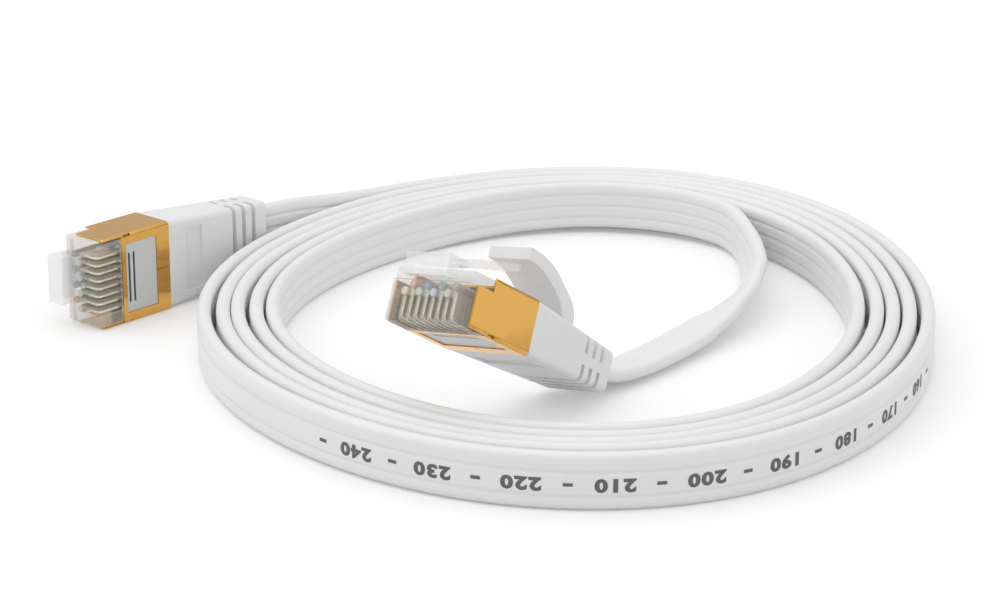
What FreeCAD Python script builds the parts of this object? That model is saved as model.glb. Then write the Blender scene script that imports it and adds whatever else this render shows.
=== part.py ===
"""Flat shielded ethernet patch cable with two gold shielded modular plugs, coiled on a table.

Millimetres, +Z up. The origin is the centre of the coil, on the surface that it lies on.
Each plug is made in a frame of its own and then set in place: x runs from the nose to the boot,
z from the contact face to the latch side, y across the width, and pin 1 has the highest y.
"""
import FreeCAD, Part
import math
import os

Vector = FreeCAD.Vector

# Modular plug
PLUG_WIDTH = 11.9
PLUG_HEIGHT = 6.7
PIN_COUNT = 8
PIN_PITCH = 1.02

# Shield, a sleeve of thin sheet with open nose and windows
SHEET = 0.25
SHIELD_START = 1.35
SHIELD_LENGTH = 11.3
SHIELD_STEP = 2.95
SHIELD_LOW_HEIGHT = 4.95
SHIELD_ROOF_LENGTH = 4.6
SHIELD_BEND = 0.5
BAR_START = 4.6
BAR_LENGTH = 0.7
WINDOW_LENGTH = 5.2
WINDOW_WIDTH = 9.2
NOTCH_LENGTH = 1.2
NOTCH_DEPTH = 0.35
SEAM_GAP = 0.06

# Clear housing
FIT = 0.05
NOSE_DEPTH = 0.95
NOSE_INSET = 0.2
NOSE_BEVEL = 0.35
CONTACT_ZONE = 4.5
TAIL_INSET = 0.95
TAIL_LENGTH = 8.15
SLOT_WIDTH = 0.55
SLOT_HEIGHT = 3.0
SLOT_ROOT = 0.5
CAVITY_START = 7.9
CAVITY_WIDTH = 8.8
CAVITY_HEIGHT = 2.4
CAVITY_FLOOR = 2.8

# Contacts, wires and load bar
BLADE_THICKNESS = 0.35
BLADE_START = 0.75
BLADE_LENGTH = 3.5
BLADE_RECESS = 0.45
BLADE_NOSE_RADIUS = 0.8
BLADE_GAP = 0.04
WIRE_DIAMETER = 0.9
WIRE_PLAY = 0.05
WIRE_START = 0.4
LOWER_ROW = 3.55
UPPER_ROW = 4.35
WIRE_BEND_X = 15.0
BAR_THICKNESS = 2.5
CORE_PITCH = 1.6
WIRE_NAMES = (
    "white_orange",
    "orange",
    "white_green",
    "blue",
    "white_blue",
    "green",
    "white_brown",
    "brown",
)

# Latch
LATCH_WIDTH = 6.3
TAB_WIDTH = 3.25
LATCH_FRONT = -1.2
LATCH_ROOT_GAP = 0.2
LATCH_BLOCK_HEIGHT = 7.75
LATCH_SHOULDER_X = 2.4
LATCH_ROOT_RADIUS = 0.45
LATCH_UNDER_GAP = 0.6
TAB_KNEE_X = 7.4
TAB_KNEE_HEIGHT = 9.55
TAB_END_X = 13.3
TAB_END_HEIGHT = 10.95
TAB_THICKNESS = 1.05
LATCH_AXIS_X = 0.2

# Boot and guard
BOOT_LENGTH = 17.9
BOOT_TAIL_WIDTH = 9.0
BOOT_TAIL_FLOOR = 0.52
BOOT_TAIL_TOP = 5.69
BOOT_EDGE = 0.8
BOOT_WALL = 1.0
RECESS_START = 2.95
RECESS_LENGTH = 3.0
RECESS_WIDTH = 8.5
RECESS_DEPTH = 0.4
GROOVE_START = 11.6
GROOVE_PITCH = 1.8
GROOVE_WIDTH = 0.7
GROOVE_DEPTH = 0.75
GROOVE_COUNT = 3
RIB_FLOOR = 2.35
RIB_TOP = 3.65
GUARD_WIDTH = 6.0
GUARD_AXIS_X = 9.75
GUARD_AXIS_Z = 6.0
GUARD_KNUCKLE = 1.25
GUARD_CLEARANCE = 0.2
GUARD_TIP_X = 0.15
GUARD_GAP = 0.4
GUARD_THICKNESS = 1.45

# The guard's two curves between its tip and its root: share of its reach, share of its rise
GUARD_UNDERSIDE = ((0, 1), (0.33, 0.91), (0.53, 0.76), (0.755, 0.5), (0.885, 0.18))
GUARD_TOPSIDE = ((1.12, 0.1), (1.05, 0.4), (0.84, 0.63), (0.59, 0.84), (0.3, 0.97), (0, 1))

# Flat cable
CABLE_WIDTH = 6.6
CABLE_THICKNESS = 1.65
CABLE_LEVEL = 3.1
CABLE_PLAY = 0.1
LOBE_DEPTH = 0.15
LOBE_GROOVE = 0.22
OUTER_GROOVES = (0.27, 0.73)
INNER_GROOVES = (0.27, 0.5, 0.73)
CRIMP_SETBACK = 0.3
CRIMP_LENGTH = 2.8
CRIMP_SHEET = 0.25
CRIMP_PLAY = 0.05

# Coil: an egg-shaped oval, wound inwards clockwise as seen from above
OVAL_X = 44.35
OVAL_X_LEAN = 7.78
OVAL_Y = 55.45
OVAL_Y_LEAN = -8.25
OVAL_EGG = 0.074
COIL_PITCH = 2.1
COIL_START_DEG = 116.0
COIL_END_DEG = 68.0
STEP_IN_END_DEG = 143.5
STEP_IN_SPAN_DEG = 70.0
COIL_FULL_TURNS = 5
COIL_REST = CABLE_WIDTH / 2
END_STRAIGHT = 3.3
LEAVE_RADIUS = 16.1
LEAVE_TURN_DEG = 54.3

# Free cable near the second plug, drawn as a plain round tube
LEAD_DIAMETER = 3.0

# Plug poses: nose point on the contact face's middle, then the way from nose to boot and up
PLUG_A_BESIDE_COIL = 14.85
PLUG_A_BEHIND_CENTRE = 1.34
PLUG_A_NOSE = Vector(-OVAL_X - PLUG_A_BESIDE_COIL, PLUG_A_BEHIND_CENTRE, PLUG_WIDTH / 2)
PLUG_A_HEADING = Vector(0.660, 0.751, 0.0)
PLUG_A_LATCH = Vector(-0.751, 0.660, 0.0)
PLUG_B_NOSE = Vector(-17.03, -42.18, 16.39)
PLUG_B_HEADING = Vector(0.574, 0.635, -0.517)
PLUG_B_LATCH = Vector(0.218, 0.491, 0.844)

# What follows from the sizes above
HALF = PLUG_WIDTH / 2
SHIELD_END = SHIELD_START + SHIELD_LENGTH
BOOT_END = SHIELD_END + BOOT_LENGTH
HOUSING_END = SHIELD_END + TAIL_LENGTH
JACKET_START = HOUSING_END + 2 * FIT
CRIMP_START = JACKET_START + CRIMP_SETBACK
HOUSING_HALF = HALF - SHEET - FIT
HOUSING_FLOOR = SHEET + FIT
HOUSING_TOP = PLUG_HEIGHT - SHEET - FIT
LATCH_AXIS_Z = SHIELD_LOW_HEIGHT + LATCH_ROOT_GAP + LATCH_ROOT_RADIUS
REAR_CAVITY_START = WIRE_BEND_X - WIRE_DIAMETER
REAR_CAVITY_FLOOR = CABLE_LEVEL - WIRE_DIAMETER - 3 * FIT
GUARD_AXIS = (SHIELD_END + GUARD_AXIS_X, GUARD_AXIS_Z)


def box(x0, x1, y0, y1, z0, z1):
    return Part.makeBox(x1 - x0, y1 - y0, z1 - z0, Vector(x0, y0, z0))


def wide_box(x0, x1, half, z0, z1):
    return box(x0, x1, -half, half, z0, z1)


def side_profile(points, half):
    """A plate cut to an outline in the x-z plane, as thick as the given width."""
    corners = [Vector(x, -half, z) for x, z in points]
    face = Part.Face(Part.makePolygon(corners + corners[:1]))
    return face.extrude(Vector(0, 2 * half, 0))


def long_edges(shape):
    """The edges that run along x."""
    found = []
    for edge in shape.Edges:
        first, last = edge.Vertexes[0].Point, edge.Vertexes[-1].Point
        if abs(first.x - last.x) > 1.0:
            found.append(edge)
    return found


def rounded_section(x, half, floor, top, radius):
    """A closed rounded rectangle across x."""
    corners = [(-half, floor), (half, floor), (half, top), (-half, top)]
    centres = [
        (-half + radius, floor + radius),
        (half - radius, floor + radius),
        (half - radius, top - radius),
        (-half + radius, top - radius),
    ]
    edges = []
    slant = radius * math.sqrt(0.5)
    ends = []
    for (cy, cz), (my, mz) in zip(corners, centres):
        out_y = math.copysign(1, cy - my)
        out_z = math.copysign(1, cz - mz)
        flat = Vector(x, my + out_y * radius, mz)
        upright = Vector(x, my, mz + out_z * radius)
        middle = Vector(x, my + out_y * slant, mz + out_z * slant)
        ends.append((flat, middle, upright))
    order = [ends[0], ends[1][::-1], ends[2], ends[3][::-1]]
    for index, (start, middle, end) in enumerate(order):
        edges.append(Part.Arc(start, middle, end).toShape())
        following = order[(index + 1) % 4][0]
        edges.append(Part.LineSegment(end, following).toShape())
    return Part.Wire(edges)


def pin_y(pin):
    return (PIN_COUNT - 1) / 2 * PIN_PITCH - pin * PIN_PITCH


def row_z(pin):
    return UPPER_ROW if pin % 2 else LOWER_ROW


def place_matrix(nose, heading, latch):
    x_axis = Vector(heading).normalize()
    z_axis = Vector(latch - x_axis * latch.dot(x_axis)).normalize()
    y_axis = z_axis.cross(x_axis)
    matrix = FreeCAD.Matrix(
        x_axis.x, y_axis.x, z_axis.x, nose.x,
        x_axis.y, y_axis.y, z_axis.y, nose.y,
        x_axis.z, y_axis.z, z_axis.z, nose.z,
        0, 0, 0, 1,
    )
    return matrix


def shield():
    sleeve = wide_box(SHIELD_START, SHIELD_END, HALF, 0, PLUG_HEIGHT)
    sleeve = sleeve.makeFillet(SHIELD_BEND, long_edges(sleeve))
    bore = wide_box(SHIELD_START - 1, SHIELD_END + 1, HALF - SHEET, SHEET, PLUG_HEIGHT - SHEET)
    bore = bore.makeFillet(SHIELD_BEND - SHEET, long_edges(bore))
    inside = HALF - SHEET
    over = PLUG_HEIGHT + 1
    step = SHIELD_START + SHIELD_STEP
    bar_end = BAR_START + BAR_LENGTH
    window_end = bar_end + WINDOW_LENGTH
    roof = SHIELD_END - SHIELD_ROOF_LENGTH
    cuts = [
        bore,
        wide_box(0, step, HALF + 1, SHIELD_LOW_HEIGHT, over),
        wide_box(0, roof, inside, HOUSING_TOP, over),
        wide_box(0, BAR_START, inside, -1, SHEET + FIT),
        wide_box(bar_end, window_end, WINDOW_WIDTH / 2, -1, SHEET + FIT),
        wide_box(window_end - 1, SHIELD_END + 1, SEAM_GAP / 2, -1, SHEET + FIT),
    ]
    for side in (-1, 1):
        edge = side * HALF
        low = min(edge - side * NOTCH_DEPTH, edge + side)
        high = max(edge - side * NOTCH_DEPTH, edge + side)
        notch_start = BAR_START + BAR_LENGTH / 2
        cuts.append(box(notch_start, notch_start + NOTCH_LENGTH, low, high, -1, NOTCH_DEPTH))
    return sleeve.cut(cuts)


def housing():
    nose_half = HOUSING_HALF - NOSE_INSET
    nose = wide_box(0, CONTACT_ZONE, nose_half, 0, SHIELD_LOW_HEIGHT)
    front_edges = [e for e in nose.Edges if all(v.Point.x < 0.01 for v in e.Vertexes)]
    nose = nose.makeChamfer(NOSE_BEVEL, front_edges)
    body = wide_box(NOSE_DEPTH, SHIELD_END, HOUSING_HALF, HOUSING_FLOOR, HOUSING_TOP)
    body = body.makeFillet(SHIELD_BEND - SHEET, long_edges(body))
    tail = wide_box(
        SHIELD_END,
        HOUSING_END,
        HOUSING_HALF - TAIL_INSET,
        HOUSING_FLOOR + TAIL_INSET,
        HOUSING_TOP - TAIL_INSET,
    )
    solid = nose.fuse([body, tail])
    half = CAVITY_WIDTH / 2
    cavity_top = CAVITY_FLOOR + CAVITY_HEIGHT
    cuts = [
        wide_box(CAVITY_START, HOUSING_END + 1, half, CAVITY_FLOOR, cavity_top),
        wide_box(REAR_CAVITY_START, HOUSING_END + 1, half, REAR_CAVITY_FLOOR, cavity_top),
    ]
    bore = WIRE_DIAMETER / 2 + WIRE_PLAY
    slot_end = BLADE_START + BLADE_LENGTH + WIRE_PLAY
    for pin in range(PIN_COUNT):
        y = pin_y(pin)
        z = row_z(pin)
        left = y - SLOT_WIDTH / 2
        right = y + SLOT_WIDTH / 2
        cuts.append(box(-1, slot_end, left, right, -1, SLOT_HEIGHT))
        cuts.append(box(SLOT_ROOT, slot_end, left, right, BLADE_RECESS, z))
        centre = Vector(WIRE_START - WIRE_PLAY, y, z)
        cuts.append(Part.makeCylinder(bore, CAVITY_START, centre, Vector(1, 0, 0)))
    return solid.cut(cuts).removeSplitter()


def contacts():
    """Eight separate blades with a round front corner, each ending just under its own wire."""
    blades = []
    end = BLADE_START + BLADE_LENGTH
    for pin in range(PIN_COUNT):
        y = pin_y(pin)
        side = BLADE_THICKNESS / 2
        top = row_z(pin) - WIRE_DIAMETER / 2 - BLADE_GAP
        blade = box(BLADE_START, end, y - side, y + side, BLADE_RECESS, top)
        corner = Vector(BLADE_START, y, BLADE_RECESS)
        nearest = min(blade.Edges, key=lambda edge: (edge.CenterOfMass - corner).Length)
        blades.append(blade.makeFillet(BLADE_NOSE_RADIUS, [nearest]))
    return Part.makeCompound(blades)


def load_bar():
    half = CAVITY_WIDTH / 2 - FIT
    start = CAVITY_START + FIT
    top = CAVITY_FLOOR + CAVITY_HEIGHT - FIT
    bar = wide_box(start, start + BAR_THICKNESS, half, CAVITY_FLOOR + FIT, top)
    bore = WIRE_DIAMETER / 2 + WIRE_PLAY
    cuts = []
    for pin in range(PIN_COUNT):
        centre = Vector(start - 1, pin_y(pin), row_z(pin))
        cuts.append(Part.makeCylinder(bore, BAR_THICKNESS + 2, centre, Vector(1, 0, 0)))
    return bar.cut(cuts)


def wire(pin):
    """One insulated wire: straight through the nose and the bar, then on to the jacket's end."""
    radius = WIRE_DIAMETER / 2
    start = Vector(WIRE_START, pin_y(pin), row_z(pin))
    bend = Vector(WIRE_BEND_X, pin_y(pin), row_z(pin))
    pair = pin // 2
    middle = (PIN_COUNT / 2 - 1) / 2
    level = CABLE_LEVEL + (radius + FIT) * (1 if pin % 2 else -1)
    end = Vector(JACKET_START - 3 * FIT, (middle - pair) * CORE_PITCH, level)
    run = end - bend
    front = Part.makeCylinder(radius, WIRE_BEND_X - WIRE_START, start, Vector(1, 0, 0))
    knee = Part.makeSphere(radius, bend)
    back = Part.makeCylinder(radius, run.Length, bend, run)
    return front.fuse([knee, back]).removeSplitter()


def boot_taper(share):
    """Half width, floor and top of the boot's outside at a share of its length."""
    half = HALF + (BOOT_TAIL_WIDTH / 2 - HALF) * share
    floor = BOOT_TAIL_FLOOR * share
    top = PLUG_HEIGHT + (BOOT_TAIL_TOP - PLUG_HEIGHT) * share
    return half, floor, top


def boot():
    half, floor, top = boot_taper(0)
    front = rounded_section(SHIELD_END, half, floor, top, BOOT_EDGE)
    half, floor, top = boot_taper(1)
    rear = rounded_section(BOOT_END, half, floor, top, BOOT_EDGE)
    body = Part.makeLoft([front, rear], True, True)
    play = 2 * FIT
    pocket = wide_box(
        SHIELD_END - 1,
        HOUSING_END + play,
        HOUSING_HALF - TAIL_INSET + play,
        HOUSING_FLOOR + TAIL_INSET - play,
        HOUSING_TOP - TAIL_INSET + play,
    )
    slot_half = CABLE_WIDTH / 2 + CABLE_PLAY
    slot_high = CABLE_THICKNESS / 2 + CABLE_PLAY
    slot = wide_box(
        SHIELD_END, BOOT_END + 1, slot_half, CABLE_LEVEL - slot_high, CABLE_LEVEL + slot_high
    )
    crimp_room = CRIMP_SHEET + CRIMP_PLAY + CABLE_PLAY
    crimp_seat = wide_box(
        SHIELD_END,
        CRIMP_START + CRIMP_LENGTH + CABLE_PLAY,
        CABLE_WIDTH / 2 + crimp_room,
        CABLE_LEVEL - CABLE_THICKNESS / 2 - crimp_room,
        CABLE_LEVEL + CABLE_THICKNESS / 2 + crimp_room,
    )
    recess_start = SHIELD_END + RECESS_START
    recess_share = RECESS_START / BOOT_LENGTH
    recess_floor = boot_taper(recess_share)[1] + RECESS_DEPTH
    recess = wide_box(
        recess_start, recess_start + RECESS_LENGTH, RECESS_WIDTH / 2, -1, recess_floor
    )
    seat = Part.makeCylinder(
        GUARD_KNUCKLE + GUARD_CLEARANCE,
        GUARD_WIDTH + 2 * GUARD_CLEARANCE,
        Vector(GUARD_AXIS[0], -GUARD_WIDTH / 2 - GUARD_CLEARANCE, GUARD_AXIS[1]),
        Vector(0, 1, 0),
    )
    cuts = [pocket, slot, crimp_seat, recess, seat]
    for index in range(GROOVE_COUNT):
        cuts.append(strain_groove(index))
    return body.cut(cuts)


def strain_groove(index):
    """A groove round the boot, left out over the rib in the middle of each side."""
    start = SHIELD_END + GROOVE_START + index * GROOVE_PITCH
    share = (GROOVE_START + index * GROOVE_PITCH) / BOOT_LENGTH
    half, floor, top = boot_taper(share)
    reach = HALF + 1
    outer = wide_box(start, start + GROOVE_WIDTH, reach, -1, PLUG_HEIGHT + 1)
    core = wide_box(
        start - 1,
        start + GROOVE_WIDTH + 1,
        half - GROOVE_DEPTH,
        floor + GROOVE_DEPTH,
        top - GROOVE_DEPTH,
    )
    rib = wide_box(start - 1, start + GROOVE_WIDTH + 1, reach + 1, RIB_FLOOR, RIB_TOP)
    return outer.cut([core, rib])


def smooth_edge(points):
    curve = Part.BSplineCurve()
    curve.interpolate(points)
    return curve.toShape()


def guard():
    """The curved tongue that overhangs the latch tab, with a round root in its seat."""
    x, z = GUARD_AXIS
    tip_x = SHIELD_END + GUARD_TIP_X
    reach = x - tip_x
    half = GUARD_WIDTH / 2
    low_rise = TAB_END_HEIGHT + GUARD_GAP - z

    def curve_points(shares, rise):
        return [Vector(tip_x + along * reach, -half, z + up * rise) for along, up in shares]

    under = curve_points(GUARD_UNDERSIDE, low_rise)
    over = curve_points(GUARD_TOPSIDE, low_rise + GUARD_THICKNESS)
    axis_point = Vector(x, -half, z)
    edges = [
        smooth_edge(under),
        Part.LineSegment(under[-1], axis_point).toShape(),
        Part.LineSegment(axis_point, over[0]).toShape(),
        smooth_edge(over),
        Part.LineSegment(over[-1], under[0]).toShape(),
    ]
    arm = Part.Face(Part.Wire(edges)).extrude(Vector(0, GUARD_WIDTH, 0))
    knuckle = Part.makeCylinder(GUARD_KNUCKLE, GUARD_WIDTH, axis_point, Vector(0, 1, 0))
    return arm.fuse(knuckle).removeSplitter()


def latch():
    """Wide block with its shoulders at the nose, and the bent narrower tab that a thumb presses."""
    root_floor = LATCH_AXIS_Z - LATCH_ROOT_RADIUS
    root_back = LATCH_AXIS_X + LATCH_ROOT_RADIUS
    under = HOUSING_TOP + LATCH_UNDER_GAP
    block = side_profile(
        [
            (LATCH_FRONT, root_floor),
            (LATCH_FRONT, LATCH_BLOCK_HEIGHT),
            (LATCH_SHOULDER_X, LATCH_BLOCK_HEIGHT),
            (LATCH_SHOULDER_X, under),
            (root_back, under),
            (root_back, LATCH_AXIS_Z),
            (LATCH_AXIS_X, root_floor),
        ],
        LATCH_WIDTH / 2,
    )
    root = Part.makeCylinder(
        LATCH_ROOT_RADIUS,
        LATCH_WIDTH,
        Vector(LATCH_AXIS_X, -LATCH_WIDTH / 2, LATCH_AXIS_Z),
        Vector(0, 1, 0),
    )
    tab = side_profile(
        [
            (root_back, under),
            (root_back, LATCH_BLOCK_HEIGHT),
            (LATCH_SHOULDER_X, LATCH_BLOCK_HEIGHT),
            (TAB_KNEE_X, TAB_KNEE_HEIGHT),
            (TAB_END_X, TAB_END_HEIGHT),
            (TAB_END_X, TAB_END_HEIGHT - TAB_THICKNESS),
            (TAB_KNEE_X, TAB_KNEE_HEIGHT - TAB_THICKNESS),
            (LATCH_SHOULDER_X, under),
        ],
        TAB_WIDTH / 2,
    )
    return block.fuse([root, tab]).removeSplitter()


def cable_slab(x0, x1, grow):
    """A stretch of flat jacket inside the boot, or the room for it when grown."""
    half = CABLE_WIDTH / 2 + grow
    rise = CABLE_THICKNESS / 2 + grow
    section = rounded_section(
        x0, half, CABLE_LEVEL - rise, CABLE_LEVEL + rise, CABLE_THICKNESS / 2 - FIT
    )
    return Part.Face(section).extrude(Vector(x1 - x0, 0, 0))


def crimp():
    end = CRIMP_START + CRIMP_LENGTH
    outside = cable_slab(CRIMP_START, end, CRIMP_PLAY + CRIMP_SHEET)
    return outside.cut(cable_slab(CRIMP_START - 1, end + 1, CRIMP_PLAY))


def plug_parts():
    """Every piece of one plug, in the plug's own frame."""
    parts = {
        "shield": shield(),
        "housing": housing(),
        "contacts": contacts(),
        "load_bar": load_bar(),
        "latch": latch(),
        "boot": boot(),
        "guard": guard(),
        "jacket_end": cable_slab(JACKET_START, BOOT_END, 0),
        "crimp_band": crimp(),
    }
    for pin, colour in enumerate(WIRE_NAMES):
        parts["wire_" + str(pin + 1) + "_" + colour] = wire(pin)
    return parts


def arc_between(start, tangent, end):
    """The arc from start along tangent to end, or the line when they are in line."""
    chord = end - start
    along = chord.dot(tangent) / chord.Length
    if along > 1 - 1e-9:
        return Part.LineSegment(start, end).toShape()
    side = Vector(tangent - chord * (along / chord.Length)).normalize()
    sagitta = chord.Length / 2 * math.tan(math.acos(along) / 2)
    middle = (start + end) * 0.5 + side * sagitta
    return Part.Arc(start, middle, end).toShape()


def biarc(start, start_tangent, end, end_tangent):
    """Two arcs that leave start and reach end along the given tangents."""
    chord = end - start
    both = start_tangent + end_tangent
    spread = 2 * (1 - start_tangent.dot(end_tangent))
    reach = chord.dot(both)
    size = (math.sqrt(reach ** 2 + spread * chord.dot(chord)) - reach) / spread
    joint = (start + end + (start_tangent - end_tangent) * size) * 0.5
    back = arc_between(end, end_tangent * -1, joint)
    return [arc_between(start, start_tangent, joint), back]


def oval_point(angle):
    x = OVAL_X * math.cos(angle) + OVAL_X_LEAN * math.sin(angle)
    bulge = 1 + OVAL_EGG * math.cos(angle)
    y = OVAL_Y * math.sin(angle) * bulge + OVAL_Y_LEAN * math.cos(angle)
    return Vector(x, y, COIL_REST)


def coil_inset(turn):
    """How far inside the outermost oval the cable lies: a pitch more after each step inwards."""
    passed = turn + (STEP_IN_END_DEG - COIL_START_DEG) / 360
    full = math.floor(passed)
    share = max(0, 1 - (full + 1 - passed) * 360 / STEP_IN_SPAN_DEG)
    return COIL_PITCH * (full + share * share * (3 - 2 * share))


def coil_point(turn):
    """The centre of the cable after so many turns from the coil's outer start."""
    angle = math.radians(COIL_START_DEG) - 2 * math.pi * turn
    step = 1e-4
    ahead = oval_point(angle - step) - oval_point(angle + step)
    inward = Vector(ahead.y, -ahead.x, 0).normalize()
    return oval_point(angle) + inward * coil_inset(turn)


def coil_tangent(turn):
    step = 1e-4
    return Vector(coil_point(turn + step) - coil_point(turn - step)).normalize()


def turned(direction, degrees):
    """A level direction turned clockwise as seen from above."""
    angle = math.radians(-degrees)
    x = direction.x * math.cos(angle) - direction.y * math.sin(angle)
    y = direction.x * math.sin(angle) + direction.y * math.cos(angle)
    return Vector(x, y, 0)


def coil_path():
    """Straight end, the turns as biarcs, the bend where the cable leaves, straight end."""
    turns = COIL_FULL_TURNS + (COIL_START_DEG - COIL_END_DEG) / 360
    stations = [part / 8 for part in range(int(turns * 8) + 1)]
    stations.append(turns)
    first = coil_point(0)
    heading = coil_tangent(0)
    edges = [Part.LineSegment(first - heading * END_STRAIGHT, first).toShape()]
    for before, after in zip(stations, stations[1:]):
        edges += biarc(
            coil_point(before), coil_tangent(before), coil_point(after), coil_tangent(after)
        )
    last = coil_point(turns)
    heading = coil_tangent(turns)
    inward = Vector(heading.y, -heading.x, 0)
    leaving = turned(heading, LEAVE_TURN_DEG)
    leaving_inward = Vector(leaving.y, -leaving.x, 0)
    bend_end = last + inward * LEAVE_RADIUS - leaving_inward * LEAVE_RADIUS
    edges.append(arc_between(last, heading, bend_end))
    edges.append(Part.LineSegment(bend_end, bend_end + leaving * END_STRAIGHT).toShape())
    return Part.Wire(Part.sortEdges(edges)[0]), bend_end + leaving * END_STRAIGHT


def cable_section(centre, heading):
    """The jacket's outline across the path: round lobes at both edges, shallow grooves between."""
    inward = Vector(heading.y, -heading.x, 0).normalize()
    half = CABLE_THICKNESS / 2
    reach = CABLE_WIDTH / 2

    def at(side, height):
        return centre + inward * side + Vector(0, 0, height)

    def face(side, shares):
        points = [at(side * half, half - reach)]
        for share in shares:
            level = share * CABLE_WIDTH - reach
            points.append(at(side * half, level - LOBE_GROOVE))
            points.append(at(side * (half - LOBE_DEPTH), level))
            points.append(at(side * half, level + LOBE_GROOVE))
        points.append(at(side * half, reach - half))
        return points

    outer = face(-1, OUTER_GROOVES)
    inner = face(1, INNER_GROOVES)[::-1]
    edges = [Part.LineSegment(a, b).toShape() for a, b in zip(outer, outer[1:])]
    edges.append(Part.Arc(outer[-1], at(0, reach), inner[0]).toShape())
    edges += [Part.LineSegment(a, b).toShape() for a, b in zip(inner, inner[1:])]
    edges.append(Part.Arc(inner[-1], at(0, -reach), outer[0]).toShape())
    return Part.Wire(edges)


def section_area(outline):
    return Part.Face(outline).Area


def report_volume(name, solid, area, length):
    share = solid.Volume / (area * length)
    print(name, "valid", solid.isValid(), "volume over section times length", round(share, 4))


def least_gap(path):
    """The least distance between turns of the coil, less the cable's thickness."""
    points = path.discretize(Distance=1.0)
    skip = 60
    least = None
    for first in range(len(points) - skip):
        here = points[first]
        for other in points[first + skip:]:
            apart = (here - other).Length
            if least is None or apart < least:
                least = apart
    return least - CABLE_THICKNESS


def coil():
    path, end = coil_path()
    start = coil_point(0) - coil_tangent(0) * END_STRAIGHT
    outline = cable_section(start, coil_tangent(0))
    solid = path.makePipeShell([outline], True, False)
    report_volume("coil", solid, section_area(outline), path.Length)
    print("coil length", round(path.Length, 1), "least gap to itself", round(least_gap(path), 3))
    return solid, start, end


def tube_path(points):
    """Straight runs joined by tangent arcs, each as large as its two runs allow."""
    edges = []
    radii = []
    here = points[0]
    for before, corner, after in zip(points, points[1:], points[2:]):
        back = Vector(before - corner)
        ahead = Vector(after - corner)
        shorter = min(back.Length, ahead.Length)
        half_turn = (math.pi - back.getAngle(ahead)) / 2
        trim = 0.45 * shorter
        radii.append(round(trim / math.tan(half_turn), 1))
        arc_start = corner + back.normalize() * trim
        arc_end = corner + ahead.normalize() * trim
        edges.append(Part.LineSegment(here, arc_start).toShape())
        edges.append(arc_between(arc_start, back * -1, arc_end))
        here = arc_end
    edges.append(Part.LineSegment(here, points[-1]).toShape())
    return Part.Wire(edges), radii


def boot_exit(matrix):
    """Where the cable leaves a boot, and which way."""
    exit_point = matrix.multVec(Vector(BOOT_END, 0, CABLE_LEVEL))
    beyond = matrix.multVec(Vector(BOOT_END + 1, 0, CABLE_LEVEL))
    return exit_point, Vector(beyond - exit_point)


def lead_a(matrix, coil_start):
    """From the first boot, on edge, down to the outermost turn."""
    exit_point, heading = boot_exit(matrix)
    joining = coil_tangent(0)
    points = [
        exit_point,
        exit_point + heading * 6.4,
        coil_start + Vector(-17.4, -14.6, 1.7),
        coil_start + Vector(-11.4, -8.1, 0.7),
        coil_start - joining * 5.5,
        coil_start,
    ]
    path, radii = tube_path(points)
    outline = cable_section(exit_point, heading)
    shell = Part.BRepOffsetAPI.MakePipeShell(path)
    shell.setBiNormalMode(Vector(0, 0, 1))
    shell.add(outline)
    shell.build()
    shell.makeSolid()
    solid = shell.shape()
    report_volume("lead_a", solid, section_area(outline), path.Length)
    print("lead_a length", round(path.Length, 1), "radii", radii)
    return solid


def lead_b(matrix, coil_end):
    """From the second boot, over the surface, to the innermost turn, as a plain round tube."""
    exit_point, heading = boot_exit(matrix)
    leaving = Vector(0.0347, -0.9994, 0)
    points = [
        exit_point,
        exit_point + heading * 2.7,
        Vector(6.2, -15.7, 1.58),
        Vector(10.4, -10.4, 1.6),
        Vector(15.0, -4.2, 1.75),
        Vector(19.4, 2.3, 2.1),
        Vector(22.9, 8.2, 2.6),
        Vector(24.9, 13.5, 3.1),
        coil_end + leaving * 5.0,
        coil_end,
    ]
    path, radii = tube_path(points)
    ring = Part.Wire(Part.makeCircle(LEAD_DIAMETER / 2, exit_point, heading))
    solid = path.makePipeShell([ring], True, False)
    report_volume("lead_b", solid, math.pi * (LEAD_DIAMETER / 2) ** 2, path.Length)
    print("lead_b length", round(path.Length, 1), "radii", radii)
    return solid


def main():
    os.makedirs("parts", exist_ok=True)
    matrices = {
        "a": place_matrix(PLUG_A_NOSE, PLUG_A_HEADING, PLUG_A_LATCH),
        "b": place_matrix(PLUG_B_NOSE, PLUG_B_HEADING, PLUG_B_LATCH),
    }
    nodes = {}
    pieces = plug_parts()
    for letter, matrix in matrices.items():
        for name, shape in pieces.items():
            placed = shape.copy()
            placed.Placement = FreeCAD.Placement(matrix)
            nodes[name + "_" + letter] = placed
    nodes["cable_coil"], coil_start, coil_end = coil()
    nodes["cable_lead_a"] = lead_a(matrices["a"], coil_start)
    nodes["cable_lead_b"] = lead_b(matrices["b"], coil_end)
    for name, shape in sorted(nodes.items()):
        shape.exportStep("parts/" + name + ".step")
        size = shape.BoundBox
        low = round(size.ZMin, 2)
        print(name, "solids", len(shape.Solids), "valid", shape.isValid(), "lowest", low)


main()
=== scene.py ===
"""Dresses the flat shielded patch cable and sets its stage, laid out as an add-on."""

import bisect
import math

import bmesh
import bpy
from mathutils import Matrix, Vector


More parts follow.
